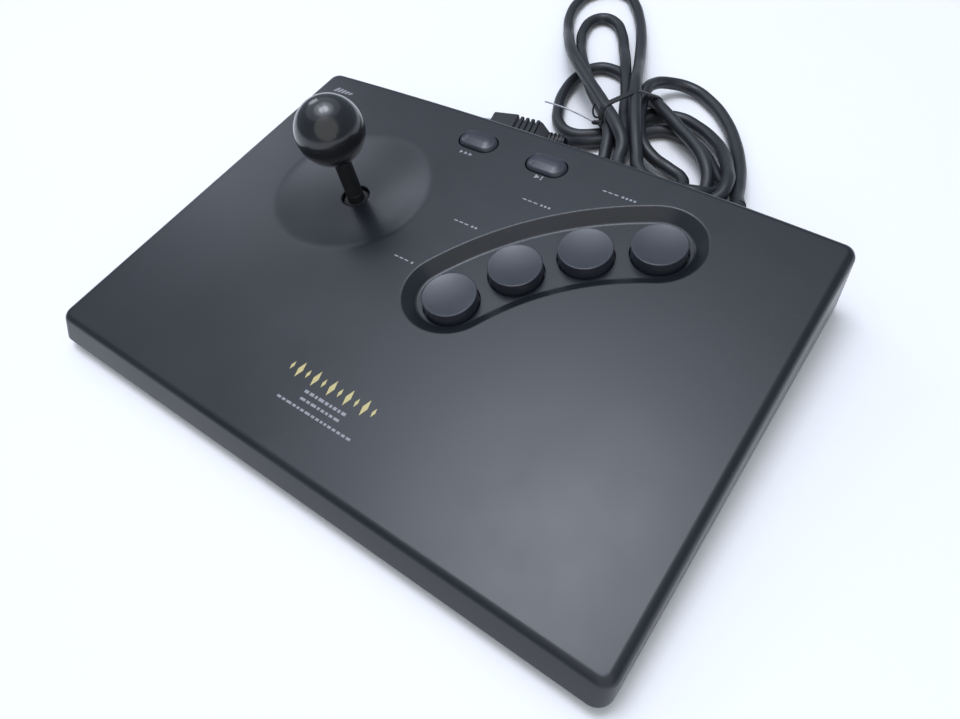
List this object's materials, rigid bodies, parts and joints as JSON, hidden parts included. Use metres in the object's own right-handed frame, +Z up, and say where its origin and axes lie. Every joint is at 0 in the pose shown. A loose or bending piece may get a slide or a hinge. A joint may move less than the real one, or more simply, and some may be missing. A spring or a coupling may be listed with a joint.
{
  "type": "arcade joystick panel",
  "caption": "Low wedge-shaped control panel with a ball-topped lever in a round dish, round buttons in a curved trough, oval keys, and a tied cord bundle with its plug.",
  "frame": {"origin": "on the table under the middle of the case, measured without the cord, its strain relief, plug and tie", "axes": "+X to the player's right along the case's width, +Y to the rear, +Z up; the player sits on the -Y side"},
  "size_m": [0.28, 0.3962, 0.0761],
  "materials": {
    "case_black": "fine satin grain, dark bluish grey in the light",
    "base_black": "plain matt moulding",
    "button_dark": "satin, slightly worn",
    "key_dark": "satin gloss",
    "ball_black": "polished, with a faint mould line",
    "shaft_black": "satin black sleeve",
    "rubber_black": "matt",
    "dome_rubber": "matt translucent grey silicone",
    "cord_black": "matt PVC, faint streaks",
    "plug_black": "matt moulded PVC",
    "inner_dark": "plain",
    "insert_black": "plain",
    "screw_steel": "bright zinc",
    "spring_steel": "bright",
    "shell_nickel": "nickel plate",
    "contact_gold": "gold flash",
    "board_green": "solder mask",
    "ribbon_grey": "flat cable",
    "wire_red": "insulated wire",
    "header_ivory": "nylon",
    "tie_black": "plastic-covered wire"
  },
  "bodies": {
    "case": {"upper_shell": "case_black", "base_plate": "base_black", "rubber_feet": "rubber_black", "case_screws": "screw_steel", "button_board": "board_green", "key_board": "board_green", "board_screws": "screw_steel", "lever_housing": "inner_dark", "housing_screws": "screw_steel", "centering_grommet": "rubber_black", "switch_plate": "board_green", "switch_plate_screws": "screw_steel", "switch_leaves": "spring_steel", "ribbon_cables": "ribbon_grey", "cord_tail": "cord_black", "cord_wires": "wire_red", "cord_header": "header_ivory", "cord_clamp": "inner_dark", "clamp_screws": "screw_steel", "strain_relief": "rubber_black", "cord_tube": "cord_black", "plug_boot": "plug_black", "plug_hood": "plug_black", "plug_shell": "shell_nickel", "plug_insert": "insert_black", "plug_contacts": "contact_gold", "twist_tie": "tie_black", "select_dome": "dome_rubber", "start_dome": "dome_rubber", "dome_a": "dome_rubber", "dome_b": "dome_rubber", "dome_c": "dome_rubber", "dome_d": "dome_rubber", "switch_left": "inner_dark", "switch_right": "inner_dark", "switch_front": "inner_dark", "switch_rear": "inner_dark"},
    "ring": {"gimbal_ring": "inner_dark"},
    "lever": {"gimbal_hub": "screw_steel", "lever_shaft": "shaft_black", "ball_knob": "ball_black", "actuator_collar": "inner_dark", "retaining_clip": "spring_steel"},
    "button_a": {"button_a": "button_dark"},
    "button_b": {"button_b": "button_dark"},
    "button_c": {"button_c": "button_dark"},
    "button_d": {"button_d": "button_dark"},
    "select": {"select_key": "key_dark"},
    "start": {"start_key": "key_dark"},
    "plunger_left": {"plunger_left": "spring_steel"},
    "plunger_right": {"plunger_right": "spring_steel"},
    "plunger_front": {"plunger_front": "spring_steel"},
    "plunger_rear": {"plunger_rear": "spring_steel"}
  },
  "joints": [
    {"name": "ring_tilt", "type": "hinge", "parent": "case", "child": "ring", "pos_m": [-0.0682, 0.02885, 0.01477], "axis": [1, 0, 0], "range_deg": [-9, 9], "stiffness_Nm_per_rad": 0.6, "deforming": ["centering_grommet"]},
    {"name": "lever_tilt", "type": "hinge", "parent": "ring", "child": "lever", "pos_m": [-0.0682, 0.02885, 0.01477], "axis": [0, 0.9956, 0.0941], "range_deg": [-9, 9], "stiffness_Nm_per_rad": 0.6, "deforming": ["switch_leaves"]},
    {"name": "press_a", "type": "slide", "parent": "case", "child": "button_a", "axis": [0, 0.0941, -0.9956], "range_m": [0, 0.002], "stiffness_N_per_m": 400, "springref_m": -0.001, "deforming": ["dome_a"]},
    {"name": "press_b", "type": "slide", "parent": "case", "child": "button_b", "axis": [0, 0.0941, -0.9956], "range_m": [0, 0.002], "stiffness_N_per_m": 400, "springref_m": -0.001, "deforming": ["dome_b"]},
    {"name": "press_c", "type": "slide", "parent": "case", "child": "button_c", "axis": [0, 0.0941, -0.9956], "range_m": [0, 0.002], "stiffness_N_per_m": 400, "springref_m": -0.001, "deforming": ["dome_c"]},
    {"name": "press_d", "type": "slide", "parent": "case", "child": "button_d", "axis": [0, 0.0941, -0.9956], "range_m": [0, 0.002], "stiffness_N_per_m": 400, "springref_m": -0.001, "deforming": ["dome_d"]},
    {"name": "press_select", "type": "slide", "parent": "case", "child": "select", "axis": [0, 0.0941, -0.9956], "range_m": [0, 0.0015], "stiffness_N_per_m": 400, "springref_m": -0.001, "deforming": ["select_dome"]},
    {"name": "press_start", "type": "slide", "parent": "case", "child": "start", "axis": [0, 0.0941, -0.9956], "range_m": [0, 0.0015], "stiffness_N_per_m": 400, "springref_m": -0.001, "deforming": ["start_dome"]},
    {"name": "plunge_right", "type": "slide", "parent": "case", "child": "plunger_right", "axis": [1, 0, 0], "range_m": [0, 0.0004], "stiffness_N_per_m": 100, "springref_m": -0.0005},
    {"name": "plunge_rear", "type": "slide", "parent": "case", "child": "plunger_rear", "axis": [0, 0.9956, 0.0941], "range_m": [0, 0.0004], "stiffness_N_per_m": 100, "springref_m": -0.0005},
    {"name": "plunge_left", "type": "slide", "parent": "case", "child": "plunger_left", "axis": [-1, 0, 0], "range_m": [0, 0.0004], "stiffness_N_per_m": 100, "springref_m": -0.0005},
    {"name": "plunge_front", "type": "slide", "parent": "case", "child": "plunger_front", "axis": [0, -0.9956, -0.0941], "range_m": [0, 0.0004], "stiffness_N_per_m": 100, "springref_m": -0.0005}
  ]
}
